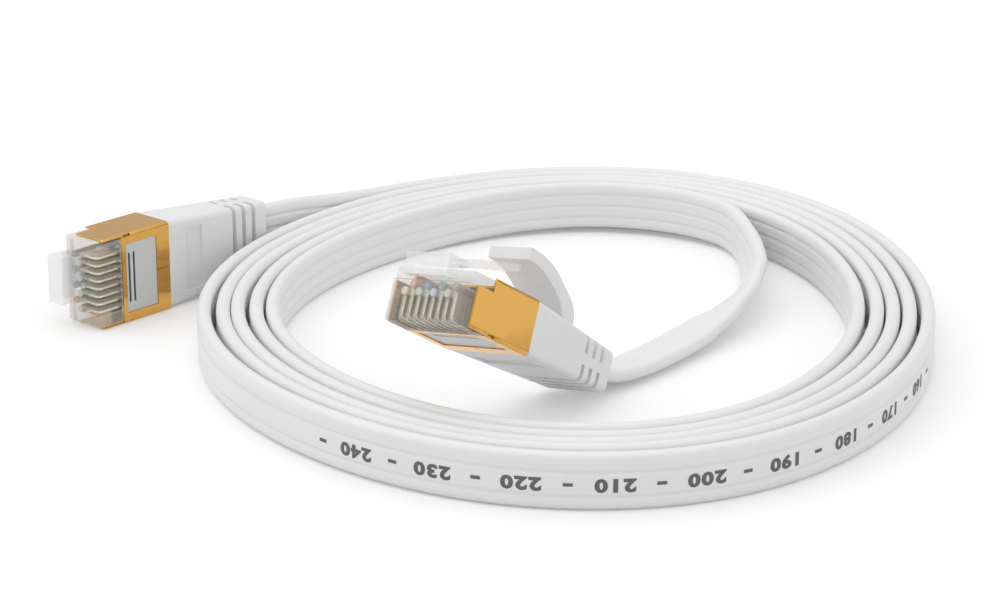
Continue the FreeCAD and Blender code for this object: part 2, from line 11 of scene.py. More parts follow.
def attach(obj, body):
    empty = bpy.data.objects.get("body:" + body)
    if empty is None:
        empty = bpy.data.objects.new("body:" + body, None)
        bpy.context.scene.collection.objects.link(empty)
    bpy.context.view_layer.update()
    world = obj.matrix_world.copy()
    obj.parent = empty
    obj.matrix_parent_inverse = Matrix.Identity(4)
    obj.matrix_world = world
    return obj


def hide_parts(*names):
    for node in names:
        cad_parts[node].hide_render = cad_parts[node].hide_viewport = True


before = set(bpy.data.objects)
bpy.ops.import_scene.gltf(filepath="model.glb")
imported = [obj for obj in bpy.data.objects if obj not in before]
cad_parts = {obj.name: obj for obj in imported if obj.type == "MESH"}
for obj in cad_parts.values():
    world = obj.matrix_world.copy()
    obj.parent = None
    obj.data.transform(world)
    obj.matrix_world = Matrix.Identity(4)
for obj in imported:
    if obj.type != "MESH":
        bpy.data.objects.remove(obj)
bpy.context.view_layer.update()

bl_info = {
    "name": "Flat patch cable",
    "version": (1, 0, 0),
    "blender": (4, 5, 0),
    "location": "3D View > Sidebar > Patch cable",
    "description": "Dresses the flat shielded patch cable and sets its stage",
    "category": "Add Mesh",
}

MM = 0.001
PINS = 8

# The pieces that the plug operators make for each plug, with its letter after the name
PLUG_PIECES = (
    "soft_boot",
    "tongue",
    "clear_housing",
    "spring_latch",
    "gold_shield",
    "window_plate",
    "slit_lining",
    "contact_blades",
)

# Plug poses in millimetres: nose point, the way from nose to boot, the way to the latch side
PLUG_POSES = {
    "a": ((-59.2, 1.34, 5.95), (0.660, 0.751, 0.0), (-0.751, 0.660, 0.0)),
    "b": ((-17.03, -42.18, 16.39), (0.574, 0.635, -0.517), (0.218, 0.491, 0.844)),
}

# The wires' colours from pin 1 to pin 8, as they show through the nose
WIRE_COLOURS = {
    "white_orange": "#E8C9B0",
    "orange": "#D9702B",
    "white_green": "#C9DDC6",
    "blue": "#2F5FA8",
    "white_blue": "#C3CFE4",
    "green": "#2E8B57",
    "white_brown": "#D9CBBE",
    "brown": "#6B4A33",
}

# The cable's route in millimetres: from plug A, round the coil, to plug B
ROUTE_LEAD_A = (
    (-41.36, 26.33, 5.95),
    (-37.13, 31.15, 5.75),
    (-32.6, 36.2, 4.7),
    (-27.0, 42.1, 3.8),
    (-21.0, 47.6, 3.35),
)
ROUTE_LEAD_B = (
    (22.9, 37.3, 3.65),
    (24.75, 32.0, 3.4),
    (25.2, 25.0, 3.35),
    (25.3, 16.5, 3.3),
    (23.4, 8.6, 2.95),
    (19.7, 2.2, 2.15),
    (15.25, -4.6, 1.38),
    (10.7, -10.9, 1.2),
    (6.1, -16.4, 1.2),
    (2.75, -19.6, 1.95),
    (1.18, -21.26, 3.21),
)
# How many degrees the ribbon has rolled from upright towards flat, by its distance in
# millimetres from plug B's boot
ROLL_KEYS = (
    (0.0, 80.4),
    (5.0, 81.5),
    (14.0, 82.5),
    (21.0, 81.5),
    (27.0, 72.0),
    (34.0, 53.0),
    (41.0, 32.0),
    (49.0, 14.0),
    (60.0, 0.0),
)

# The coil: where it starts and ends, its full turns, and where each turn steps in by a pitch
COIL_START_DEG = 116.0
COIL_FULL_TURNS = 5
COIL_END_DEG = 68.0
STEP_IN_END_DEG = 138.0
STEP_IN_SPAN_DEG = 66.0
COIL_POINTS_PER_TURN = 32
COIL_LEVEL = 3.3
# The outermost oval in millimetres: half its width and depth, how it slants, how its right bulges
OVAL_WIDE = 44.35
OVAL_DEEP = 55.45
OVAL_SLANT_WIDE = 7.78
OVAL_SLANT_DEEP = 8.25
OVAL_BULGE = 0.074
# The turns' strays to the side in millimetres: size, waves in a turn, lag
STRAYS = ((0.15, 0.4, -2.8), (0.04, 3.0, 2.0), (0.04, 8.0, 0.0))
# The turns' strays upwards in the same terms, and how many turns all strays take to fade in
RISE = 0.12
RISE_WAVES = 3.3
RISE_LAG = 1.0
FADE_TURNS = 0.5
# The innermost turn hangs free of the floor at the back: how high, and from and to which turn
INNER_LIFT = 0.72
INNER_LIFT_FROM = 4.92
INNER_LIFT_TO = 5.05
# How small a turn in radians tells which way the oval goes, and how near two points of the
# route in metres count as one
SMALL_TURN = 0.001
SAME_PLACE = 1e-5

# Length marks: which centimetres from plug A are printed, and the numerals' form.
# The glyphs' curves are coarse, as finer ones made bold lose part of their fill
MARKED_CENTIMETRES = (16, 25)
MARK_LIFT = 0.03 * MM
MARK_DROP = 0.2 * MM
GLYPH_SIZE = 1.4
GLYPH_STRETCH = 1.3
GLYPH_SPACING = 1.15
GLYPH_BOLD = 0.1 * MM
GLYPH_CURVES = 3
# The dashes between them: how thick, and points of their line from one mark to the next
DASH_THICKNESS = 0.01 * MM
DASH_LINE_STEPS = 8

# The jacket's grooves: shares of its width from the lower edge, half breadth in millimetres
OUTER_GROOVES = (0.25, 0.675)
INNER_GROOVES = (0.25, 0.5, 0.75)
GROOVE_REACH = 0.2
# How finely the jacket is made: steps from one point of its route to the next, across a face and
# round an edge
LINE_STEPS = 5
FACE_STEPS = 42
EDGE_STEPS = 8

# How mouldings and pressings are rounded: what is welded, what counts as flat and as an edge
WELD = 0.002 * MM
FLAT_DEG = 3
EDGE_DEG = 35
EDGE_SEGMENTS = 3

# The plate in a shield's window, in the plug's own frame: low and high corners in millimetres
WINDOW_PLATE = (
    ((5.32, -4.58, 0.14), (5.7, 4.58, 0.29)),
    ((5.7, 3.3, 0.14), (6.05, 4.58, 0.29)),
    ((5.7, -4.58, 0.14), (6.05, -3.3, 0.29)),
    ((6.05, -4.58, 0.14), (6.5, 4.58, 0.29)),
    ((6.5, 3.3, 0.14), (6.85, 4.58, 0.29)),
    ((6.5, -4.58, 0.14), (6.85, -3.3, 0.29)),
    ((6.85, -4.58, 0.14), (10.48, 4.58, 0.29)),
)
# A near-black sheet under the window plate's slits: painted shade standing in for the shade inside
# the plug; low and high corners in millimetres
SLIT_SHADE_SHEET = (((5.6, -3.4, 0.27), (6.95, 3.4, 0.295)),)

# Contact blades in the plug's own frame, in millimetres
BLADE_START = 0.75
BLADE_LENGTH = 3.5
BLADE_THICKNESS = 0.35
BLADE_RECESS = 0.45
BLADE_NOSE = 0.8
BLADE_NOSE_SEGMENTS = 10
BLADE_EDGE = 0.05
BLADE_NEAR = 0.01
PIN_PITCH = 1.02
LOW_BLADE = 2.61
HIGH_BLADE = 3.41

# Refractive indices
IOR_PVC = 1.53
IOR_NYLON = 1.53
IOR_POLYCARBONATE = 1.585
IOR_SOFT_MOULDING = 1.5
IOR_POLYETHYLENE = 1.5

# The stage: the floor's half side in metres, its grey and glow, and the light from all around,
# as it falls on matt faces and as polished ones mirror it from low to high
FLOOR_REACH = 3.0
FLOOR_GREY = 0.8
FLOOR_GLOW = 0.22
SKY_LIGHT = 0.76
MIRRORED_HEIGHTS = (0.1, 0.8)
MIRRORED_LIGHT = (0.55, 1.0)
WHITE = (1.0, 1.0, 1.0, 1.0)
# Square lamps that face the middle: name, place and side in metres, power in watts
LAMPS = (
    ("key_light", (-0.2, 0.15, 0.8), 0.9, 1.9),
    ("left_fill", (-0.6, -0.2, 0.35), 0.5, 0.5),
    ("right_fill", (0.6, -0.3, 0.35), 0.5, 0.35),
)
# The camera: its lens and sensor, and where it stands and looks, in millimetres
CAMERA_LENS = 104.1
CAMERA_SENSOR = 36.0
CAMERA_CLIP = (0.01, 20.0)
CAMERA_EYE = (-8.2, -345.2, 119.6)
CAMERA_TARGET = (-8.2, 16.5, 0.0)


def linear(hex_colour):
    """An sRGB hex colour as Blender's linear values."""
    values = []
    for start in (1, 3, 5):
        share = int(hex_colour[start:start + 2], 16) / 255
        if share <= 0.04045:
            values.append(share / 12.92)
        else:
            values.append(((share + 0.055) / 1.055) ** 2.4)
    return (*values, 1.0)


def colour_property(name, description, hex_colour):
    return bpy.props.FloatVectorProperty(
        name=name,
        description=description,
        subtype="COLOR",
        size=4,
        min=0.0,
        max=1.0,
        default=linear(hex_colour),
    )


def length_property(name, description, default):
    return bpy.props.FloatProperty(
        name=name, description=description, default=default, unit="LENGTH", precision=5
    )


class PatchCableSizes(bpy.types.PropertyGroup):
    """Sizes of the cable, of its marks and of the pieces' rounded edges"""

    cable_width: length_property("Cable width", "Width of the flat jacket", 6.6 * MM)
    cable_thickness: length_property("Cable thickness", "Thickness of the flat jacket", 1.75 * MM)
    groove_depth: length_property("Groove depth", "Depth of the jacket's grooves", 0.22 * MM)
    coil_pitch: length_property("Coil pitch", "Distance from one turn to the next", 2.1 * MM)
    moulded_edge: length_property("Moulded edge", "Rounding of the boot's edges", 0.22 * MM)
    clear_edge: length_property("Clear edge", "Rounding of the clear housing's edges", 0.09 * MM)
    sheet_edge: length_property("Sheet edge", "Rounding of the shield's cut edges", 0.06 * MM)
    mark_height: length_property("Mark height", "Height of the printed length marks", 1.45 * MM)
    mark_step: length_property("Mark step", "Distance from one length mark to the next", 10 * MM)
    dash_length: length_property("Dash length", "Length of the dash between two marks", 1.1 * MM)
    dash_height: length_property("Dash height", "Height of the dash between two marks", 0.4 * MM)


class PatchCableColours(bpy.types.PropertyGroup):
    """Colours of the cable's and the plugs' materials"""

    jacket: colour_property("Jacket", "White PVC jacket", "#EDEDED")
    boot: colour_property("Boot", "White soft moulding", "#E9E9EA")
    gold: colour_property("Gold", "Gold-plated shield", "#E2AE5E")
    contact: colour_property("Contacts", "Contacts with a thin gold flash", "#F2EBD6")
    clear: colour_property("Clear", "Clear polycarbonate of the housing", "#EFEEE6")
    latch: colour_property("Latch", "Clear polycarbonate of the latch", "#FAFAFA")
    plate: colour_property("Plate", "Satin plate in a shield's window", "#CFD0D0")
    # The slit colour is painted shade: near black, standing in for the shade inside the plug
    # behind the slits
    slit: colour_property("Slit", "Dark lining of the slit in a plate", "#2C3634")
    nylon: colour_property("Nylon", "Natural nylon of the load bars", "#E4E2DA")
    strip: colour_property("Strip", "Tinned strip of the crimp bands", "#B9BABC")
    ink: colour_property("Ink", "Grey print on the jacket", "#6A6A6C")


def sizes():
    return bpy.context.scene.patch_cable_sizes


def colours():
    return bpy.context.scene.patch_cable_colours


def add_node(tree, kind, inputs=None, links=None, **settings):
    """Adds one node with its settings, input values and incoming links."""
    made = tree.nodes.new(kind)
    for name, value in settings.items():
        setattr(made, name, value)
    for name, value in (inputs or {}).items():
        made.inputs[name].default_value = value
    for name, source in (links or {}).items():
        tree.links.new(source, made.inputs[name])
    return made


def new_material(name):
    material = bpy.data.materials.new(name)
    material.use_nodes = True
    material.node_tree.nodes.clear()
    return material


def finish_material(material, surface):
    add_node(material.node_tree, "ShaderNodeOutputMaterial", links={"Surface": surface})
    return material


def dimmed(colour, red, green, blue):
    """A colour with its three values cut to shares."""
    return (colour[0] * red, colour[1] * green, colour[2] * blue, 1.0)


def object_place(tree):
    """Where a point lies in its object's own frame, in metres."""
    return add_node(tree, "ShaderNodeTexCoord").outputs["Object"]


def noise(tree, place, size_mm, **inputs):
    """Noise whose features have a size in millimetres, from 0 to 1."""
    made = add_node(
        tree,
        "ShaderNodeTexNoise",
        inputs={"Scale": 1 / (size_mm * MM), **inputs},
        links={"Vector": place},
    )
    return made.outputs["Fac"]


def colour_between(tree, factor, low, high):
    """A colour that goes from low to high with a factor."""
    made = add_node(
        tree, "ShaderNodeMix", data_type="RGBA", inputs={6: low, 7: tuple(high)}, links={0: factor}
    )
    return made.outputs[2]


def value_between(tree, factor, low, high):
    """A value that goes from low to high with a factor."""
    made = add_node(
        tree, "ShaderNodeMapRange", inputs={"To Min": low, "To Max": high}, links={"Value": factor}
    )
    return made.outputs["Result"]


def moulded_plastic(name, colour, roughness, ior, grain_mm, bump):
    """Moulded thermoplastic: nearly even colour, fine spark-eroded grain, soft highlights."""
    material = new_material(name)
    tree = material.node_tree
    place = object_place(tree)
    grain = noise(tree, place, grain_mm, Detail=3.0, Roughness=0.6)
    cloud_mm = 11
    cloud = noise(tree, place, cloud_mm, Detail=2.0)
    relief = add_node(
        tree,
        "ShaderNodeBump",
        inputs={"Strength": bump, "Distance": 0.02 * MM},
        links={"Height": grain},
    )
    shader = add_node(
        tree,
        "ShaderNodeBsdfPrincipled",
        inputs={"IOR": ior},
        links={
            "Base Color": colour_between(tree, cloud, dimmed(colour, 0.97, 0.97, 0.97), colour),
            "Roughness": value_between(tree, cloud, roughness - 0.05, roughness + 0.05),
            "Normal": relief.outputs["Normal"],
        },
    )
    return finish_material(material, shader.outputs["BSDF"])


def plated_sheet(name, colour, roughness, stain=0.78):
    """Bright plate over rolled sheet: mirror-like, with shallow waves and faint rolling marks."""
    material = new_material(name)
    tree = material.node_tree
    place = object_place(tree)
    mark_mm = 1.2
    marks = noise(tree, place, mark_mm, Detail=5.0, Distortion=0.6)
    wave_mm = 4.5
    waves = noise(tree, place, wave_mm, Detail=1.0)
    fine_relief = add_node(
        tree,
        "ShaderNodeBump",
        inputs={"Strength": 0.1, "Distance": 0.02 * MM},
        links={"Height": marks},
    )
    relief = add_node(
        tree,
        "ShaderNodeBump",
        inputs={"Strength": 0.35, "Distance": 0.3 * MM},
        links={"Height": waves, "Normal": fine_relief.outputs["Normal"]},
    )
    stained = dimmed(colour, stain, stain, stain ** 2)
    shader = add_node(
        tree,
        "ShaderNodeBsdfPrincipled",
        inputs={"Metallic": 1.0},
        links={
            "Base Color": colour_between(tree, marks, stained, colour),
            "Roughness": value_between(tree, marks, roughness - 0.06, roughness + 0.08),
            "Normal": relief.outputs["Normal"],
        },
    )
    return finish_material(material, shader.outputs["BSDF"])


def clear_plastic(name, colour, roughness, clearness, cover):
    """Clear moulded polycarbonate: a milky body that lets the wires through, glossy outside."""
    material = new_material(name)
    tree = material.node_tree
    haze_mm = 1.4
    haze = noise(tree, object_place(tree), haze_mm, Detail=2.0)
    shader = add_node(
        tree,
        "ShaderNodeBsdfPrincipled",
        inputs={"IOR": IOR_POLYCARBONATE, "Transmission Weight": clearness, "Alpha": cover},
        links={
            "Base Color": colour_between(tree, haze, dimmed(colour, 0.94, 0.94, 0.94), colour),
            "Roughness": value_between(tree, haze, roughness * 0.6, roughness * 1.4),
        },
    )
    return finish_material(material, shader.outputs["BSDF"])


def printed_ink(name, colour):
    """Pad-printed grey ink: matt, with the slight patchiness of a thin coat."""
    material = new_material(name)
    tree = material.node_tree
    patch_mm = 0.4
    patches = noise(tree, object_place(tree), patch_mm, Detail=2.0)
    shader = add_node(
        tree,
        "ShaderNodeBsdfPrincipled",
        inputs={"Roughness": 0.6},
        links={"Base Color": colour_between(tree, patches, dimmed(colour, 0.7, 0.7, 0.7), colour)},
    )
    return finish_material(material, shader.outputs["BSDF"])


def jacket_plastic(name):
    """The cable's white PVC, satin from the extruder."""
    return moulded_plastic(
        name, colours().jacket, roughness=0.42, ior=IOR_PVC, grain_mm=0.35, bump=0.15
    )


def dress(piece, material):
    piece.data.materials.clear()
    piece.data.materials.append(material)


def plug_matrix(letter):
    """From a plug's own frame in millimetres to the row frame in metres."""
    nose, heading, latch = (Vector(v) for v in PLUG_POSES[letter])
    x_axis = heading.normalized()
    z_axis = (latch - x_axis * latch.dot(x_axis)).normalized()
    y_axis = z_axis.cross(x_axis)
    turn = Matrix((x_axis, y_axis, z_axis)).transposed().to_4x4()
    return Matrix.Scale(MM, 4) @ Matrix.Translation(nose) @ turn


def mesh_piece(name, build):
    """A new object whose mesh is filled by build(bm)."""
    mesh = bpy.data.meshes.new(name)
    bm = bmesh.new()
    build(bm)
    bmesh.ops.recalc_face_normals(bm, faces=bm.faces[:])
    bm.to_mesh(mesh)
    bm.free()
    piece = bpy.data.objects.new(name, mesh)
    bpy.context.scene.collection.objects.link(piece)
    return piece


def round_edges(bm, radius):
    """Joins loose triangles into flat faces and rounds every edge that is sharp enough."""
    bmesh.ops.remove_doubles(bm, verts=bm.verts[:], dist=WELD)
    bmesh.ops.dissolve_limit(
        bm, angle_limit=math.radians(FLAT_DEG), verts=bm.verts[:], edges=bm.edges[:]
    )
    sharp = [edge for edge in bm.edges if edge.calc_face_angle(0.0) > math.radians(EDGE_DEG)]
    bmesh.ops.bevel(
        bm,
        geom=sharp,
        offset=radius,
        segments=EDGE_SEGMENTS,
        profile=0.5,
        affect="EDGES",
        clamp_overlap=True,
    )


def evaluated_mesh(holder):
    """A plain mesh of an object as its modifiers leave it."""
    graph = bpy.context.evaluated_depsgraph_get()
    return bpy.data.meshes.new_from_object(holder.evaluated_get(graph))


def plain_mesh(holder):
    """Turns an object with modifiers into one with a plain mesh."""
    made = evaluated_mesh(holder)
    old = holder.data
    holder.modifiers.clear()
    holder.data = made
    bpy.data.meshes.remove(old)
    made.name = holder.name
    return holder


def even_shading(piece):
    """Smooth shading that leaves large flat faces flat beside their rounded edges."""
    for polygon in piece.data.polygons:
        polygon.use_smooth = True
    weighted = piece.modifiers.new("weighted", "WEIGHTED_NORMAL")
    weighted.keep_sharp = True
    weighted.weight = 100
    bpy.context.view_layer.update()
    return plain_mesh(piece)


def rounded_copy(name, nodes, radius, material, body):
    """One piece that stands for CAD nodes, with the rounded edges of a moulding or pressing."""

    def build(bm):
        for node in nodes:
            bm.from_mesh(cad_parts[node].data)
        round_edges(bm, radius)

    piece = even_shading(mesh_piece(name, build))
    dress(piece, material)
    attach(piece, body)
    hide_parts(*nodes)
    return piece


def eased(share):
    """A share from 0 to 1 that starts and ends slowly."""
    return share * share * (3 - 2 * share)


def oval_point(angle):
    """A point of the outermost oval, in millimetres."""
    x = OVAL_WIDE * math.cos(angle) + OVAL_SLANT_WIDE * math.sin(angle)
    bulge = 1 + OVAL_BULGE * math.cos(angle)
    y = OVAL_DEEP * math.sin(angle) * bulge - OVAL_SLANT_DEEP * math.cos(angle)
    return Vector((x, y, 0.0))


def coil_inset(turn):
    """How far inside the outermost oval the cable lies: a pitch more after each step inwards."""
    passed = turn + (STEP_IN_END_DEG - COIL_START_DEG) / 360
    full = math.floor(passed)
    share = max(0, 1 - (full + 1 - passed) * 360 / STEP_IN_SPAN_DEG)
    return sizes().coil_pitch / MM * (full + eased(share))


def hand_laid(turn):
    """How far the cable strays to the side and upwards, as turns laid by hand do."""
    fade = min(1.0, turn / FADE_TURNS, (COIL_FULL_TURNS - turn) / FADE_TURNS)
    aside = sum(size * math.sin(2 * math.pi * rate * turn + lag) for size, rate, lag in STRAYS)
    upward = RISE * (1 + math.sin(2 * math.pi * RISE_WAVES * turn + RISE_LAG)) / 2
    return max(fade, 0) * aside, max(fade, 0) * upward


def coil_point(turn):
    """The line of the coil after so many turns, in millimetres."""
    angle = math.radians(COIL_START_DEG) - 2 * math.pi * turn
    ahead = oval_point(angle - SMALL_TURN) - oval_point(angle + SMALL_TURN)
    inward = Vector((ahead.y, -ahead.x, 0.0)).normalized()
    # The spline cuts the corners of its points, so they stand further out by this much
    radius = ahead.length / (2 * SMALL_TURN)
    spread = radius * (1 / math.cos(math.pi / COIL_POINTS_PER_TURN) - 1)
    aside, upward = hand_laid(turn)
    lifted = (turn - INNER_LIFT_FROM) / (INNER_LIFT_TO - INNER_LIFT_FROM)
    upward += INNER_LIFT * eased(min(max(lifted, 0), 1))
    shift = coil_inset(turn) - spread + aside
    return oval_point(angle) + inward * shift + Vector((0, 0, COIL_LEVEL + upward))


def cable_line():
    """Points along the cable's smooth line, read from its NURBS spline, in metres."""
    turns = COIL_FULL_TURNS + (COIL_START_DEG - COIL_END_DEG) / 360
    steps = round(turns * COIL_POINTS_PER_TURN)
    route = [Vector(p) for p in ROUTE_LEAD_A]
    route += [coil_point(turns * step / steps) for step in range(steps + 1)]
    route += [Vector(p) for p in ROUTE_LEAD_B]
    curve = bpy.data.curves.new("cable_route", "CURVE")
    curve.dimensions = "3D"
    curve.resolution_u = LINE_STEPS
    spline = curve.splines.new("NURBS")
    spline.points.add(len(route) - 1)
    for point, place in zip(spline.points, route):
        point.co = (*(place * MM), 1.0)
    spline.order_u = 3
    spline.use_endpoint_u = True
    holder = bpy.data.objects.new("cable_route", curve)
    bpy.context.scene.collection.objects.link(holder)
    bpy.context.view_layer.update()
    line = bpy.data.meshes.new_from_object(holder)
    points = [v.co.copy() for v in line.vertices]
    bpy.data.objects.remove(holder)
    bpy.data.curves.remove(curve)
    bpy.data.meshes.remove(line)
    kept = [points[0]]
    for point in points[1:]:
        if (point - kept[-1]).length > SAME_PLACE:
            kept.append(point)
    return kept


def roll_at(distance):
    """Roll in radians at a distance from plug B in metres."""
    place = distance / MM
    for (low, start), (high, end) in zip(ROLL_KEYS, ROLL_KEYS[1:]):
        if place <= high:
            share = (place - low) / (high - low)
            return math.radians(start + (end - start) * eased(share))
    return 0.0


def line_frames(points):
    """For each point: distance run, tangent, outer-face normal and the way across the width."""
    runs = [0.0]
    for before, after in zip(points, points[1:]):
        runs.append(runs[-1] + (after - before).length)
    frames = []
    for index, run in enumerate(runs):
        before = points[max(index - 1, 0)]
        after = points[min(index + 1, len(points) - 1)]
        along = (after - before).normalized()
        left = Vector((-along.y, along.x, 0.0)).normalized()
        up = along.cross(left).normalized()
        roll = roll_at(runs[-1] - run)
        outward = left * math.cos(roll) - up * math.sin(roll)
        across = up * math.cos(roll) + left * math.sin(roll)
        frames.append((run, along, outward, across))
    return frames


def jacket_section():
    """The jacket's outline: (towards the outer face, across the width), in metres."""
    half = sizes().cable_thickness / 2
    reach = sizes().cable_width / 2
    straight = reach - half
    depth = sizes().groove_depth

    def dip(height, shares):
        """How deep the nearest groove is at a height: a narrow line with round lips."""
        deepest = 0.0
        for share in shares:
            away = abs(height - (2 * share - 1) * reach) / (GROOVE_REACH * MM)
            deepest = max(deepest, math.exp(-away * away))
        return deepest * depth

    # Up the outer face and round its edge, then down the inner face and round the other
    section = []
    for side, grooves in ((1, OUTER_GROOVES), (-1, INNER_GROOVES)):
        for step in range(FACE_STEPS + 1):
            height = side * straight * (2 * step / FACE_STEPS - 1)
            section.append((side * (half - dip(height, grooves)), height))
        for step in range(1, EDGE_STEPS):
            angle = math.pi * step / EDGE_STEPS
            out = half * math.cos(angle)
            section.append((side * out, side * (straight + half * math.sin(angle))))
    return section


class PATCHCABLE_OT_cable(bpy.types.Operator):
    """Sweep the flat jacket along the cable's route, from one boot to the other"""

    bl_idname = "patch_cable.cable"
    bl_label = "Flat cable"

    def execute(self, context):
        points = cable_line()
        frames = line_frames(points)
        section = jacket_section()

        def build(bm):
            rings = []
            for point, (_, _, outward, across) in zip(points, frames):
                rings.append([bm.verts.new(point + outward * a + across * b) for a, b in section])
            size = len(section)
            for ring, following in zip(rings, rings[1:]):
                for index in range(size):
                    other = (index + 1) % size
                    bm.faces.new((ring[index], ring[other], following[other], following[index]))
            bm.faces.new(rings[0])
            bm.faces.new(rings[-1])

        piece = mesh_piece("flat_cable", build)
        for polygon in piece.data.polygons:
            polygon.use_smooth = len(polygon.vertices) == 4
        dress(piece, jacket_plastic("white_pvc_jacket"))
        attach(piece, "cable_assembly")
        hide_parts("cable_lead_a", "cable_coil", "cable_lead_b")
        plug_pieces = [bpy.data.objects[stem + "_b"] for stem in PLUG_PIECES]
        for name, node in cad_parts.items():
            if name.endswith("_b") and name.split("_")[0] in ("load", "wire", "jacket", "crimp"):
                plug_pieces.append(node)
        return {"FINISHED"}


class PATCHCABLE_OT_marks(bpy.types.Operator):
    """Print plain length marks on the outer face of the outermost turn"""

    bl_idname = "patch_cable.marks"
    bl_label = "Length marks"

    def execute(self, context):
        points = cable_line()
        frames = line_frames(points)
        runs = [item[0] for item in frames]
        ink = printed_ink("grey_print", colours().ink)
        lift = sizes().cable_thickness / 2 + MARK_LIFT

        def on_jacket(along_run, up):
            index = min(bisect.bisect_right(runs, along_run), len(runs) - 1)
            share = (along_run - runs[index - 1]) / (runs[index] - runs[index - 1])
            point = points[index - 1].lerp(points[index], share)
            outward = frames[index - 1][2].lerp(frames[index][2], share)
            across = frames[index - 1][3].lerp(frames[index][3], share)
            return point + outward * lift - across * (up + MARK_DROP)

        step = sizes().mark_step
        first, last = MARKED_CENTIMETRES

        def build(bm):
            for count in range(first, last):
                glyphs = bpy.data.curves.new("numeral", "FONT")
                glyphs.body = str(count * 10)
                glyphs.size = sizes().mark_height * GLYPH_SIZE
                glyphs.align_x = "CENTER"
                glyphs.align_y = "CENTER"
                glyphs.offset = GLYPH_BOLD
                glyphs.resolution_u = GLYPH_CURVES
                glyphs.space_character = GLYPH_SPACING
                holder = bpy.data.objects.new("numeral", glyphs)
                context.scene.collection.objects.link(holder)
                context.view_layer.update()
                flat = bpy.data.meshes.new_from_object(holder)
                for vertex in flat.vertices:
                    along = vertex.co.x * GLYPH_STRETCH
                    vertex.co = on_jacket(count * step + along, vertex.co.y)
                bm.from_mesh(flat)
                bpy.data.objects.remove(holder)
                bpy.data.curves.remove(glyphs)
                bpy.data.meshes.remove(flat)

        numerals = mesh_piece("length_numerals", build)
        dress(numerals, ink)
        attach(numerals, "cable_assembly")

        stretch = []
        for part in range((last - first) * DASH_LINE_STEPS + 1):
            marks_passed = first - 0.5 + part / DASH_LINE_STEPS
            stretch.append(on_jacket(marks_passed * step, 0))
        dashes = dash_row(stretch, step, ink)
        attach(dashes, "cable_assembly")
        return {"FINISHED"}


def new_group(name, inputs):
    """A Geometry Nodes group with named inputs: its tree, what it is given, and their values."""
    tree = bpy.data.node_groups.new(name, "GeometryNodeTree")
    for way in ("INPUT", "OUTPUT"):
        tree.interface.new_socket("Geometry", in_out=way, socket_type="NodeSocketGeometry")
    values = {}
    for label, kind, value in inputs:
        socket = tree.interface.new_socket(label, in_out="INPUT", socket_type=kind)
        values[socket.identifier] = value
    return tree, add_node(tree, "NodeGroupInput").outputs, values


def end_group(tree, instances, material):
    """Ends a group: its instances made real and given their material."""
    real = add_node(tree, "GeometryNodeRealizeInstances", links={"Geometry": instances})
    finished = add_node(
        tree,
        "GeometryNodeSetMaterial",
        inputs={"Material": material},
        links={"Geometry": real.outputs["Geometry"]},
    )
    add_node(tree, "NodeGroupOutput", links={"Geometry": finished.outputs["Geometry"]})


def hang_group(holder, tree, values):
    """Hangs a group on an object and sets its inputs by their sockets' identifiers."""
    row = holder.modifiers.new(tree.name, "NODES")
    row.node_group = tree
    for identifier, value in values.items():
        row[identifier] = value
    bpy.context.view_layer.update()


def dash_row(stretch, step, ink):
    """Printed dashes along a line, one every step, made by Geometry Nodes."""
    curve = bpy.data.curves.new("dash_line", "CURVE")
    curve.dimensions = "3D"
    spline = curve.splines.new("POLY")
    spline.points.add(len(stretch) - 1)
    for point, place in zip(spline.points, stretch):
        point.co = (*place, 1.0)
    holder = bpy.data.objects.new("length_dashes", curve)
    bpy.context.scene.collection.objects.link(holder)

    tree, given, values = new_group(
        "dashes_along_a_line",
        (
            ("Step", "NodeSocketFloat", step),
            ("Dash Length", "NodeSocketFloat", sizes().dash_length),
            ("Dash Height", "NodeSocketFloat", sizes().dash_height),
        ),
    )
    places = add_node(
        tree,
        "GeometryNodeCurveToPoints",
        mode="LENGTH",
        links={"Curve": given["Geometry"], "Length": given["Step"]},
    ).outputs
    size = add_node(
        tree,
        "ShaderNodeCombineXYZ",
        inputs={"Y": DASH_THICKNESS},
        links={"X": given["Dash Length"], "Z": given["Dash Height"]},
    )
    dash = add_node(tree, "GeometryNodeMeshCube", links={"Size": size.outputs["Vector"]})
    turn = add_node(
        tree, "FunctionNodeAlignRotationToVector", axis="X", links={"Vector": places["Tangent"]}
    )
    placed = add_node(
        tree,
        "GeometryNodeInstanceOnPoints",
        links={
            "Points": places["Points"],
            "Instance": dash.outputs["Mesh"],
            "Rotation": turn.outputs["Rotation"],
        },
    )
    end_group(tree, placed.outputs["Instances"], ink)
    hang_group(holder, tree, values)
    flat = evaluated_mesh(holder)
    bpy.data.objects.remove(holder)
    bpy.data.curves.remove(curve)
    piece = bpy.data.objects.new("length_dashes", flat)
    bpy.context.scene.collection.objects.link(piece)
    return piece


class PATCHCABLE_OT_boots(bpy.types.Operator):
    """Round the boots and their guards as soft mouldings"""

    bl_idname = "patch_cable.boots"
    bl_label = "Boots and guards"

    def execute(self, context):
        white = moulded_plastic(
            "white_soft_moulding",
            colours().boot,
            roughness=0.5,
            ior=IOR_SOFT_MOULDING,
            grain_mm=0.2,
            bump=0.2,
        )
        edge = sizes().moulded_edge
        for letter in "ab":
            boot = ("boot_" + letter,)
            guard = "guard_" + letter
            rounded_copy("soft_boot_" + letter, boot, edge, white, "cable_assembly")
            rounded_copy("tongue_" + letter, (guard,), edge, white, guard)
        return {"FINISHED"}


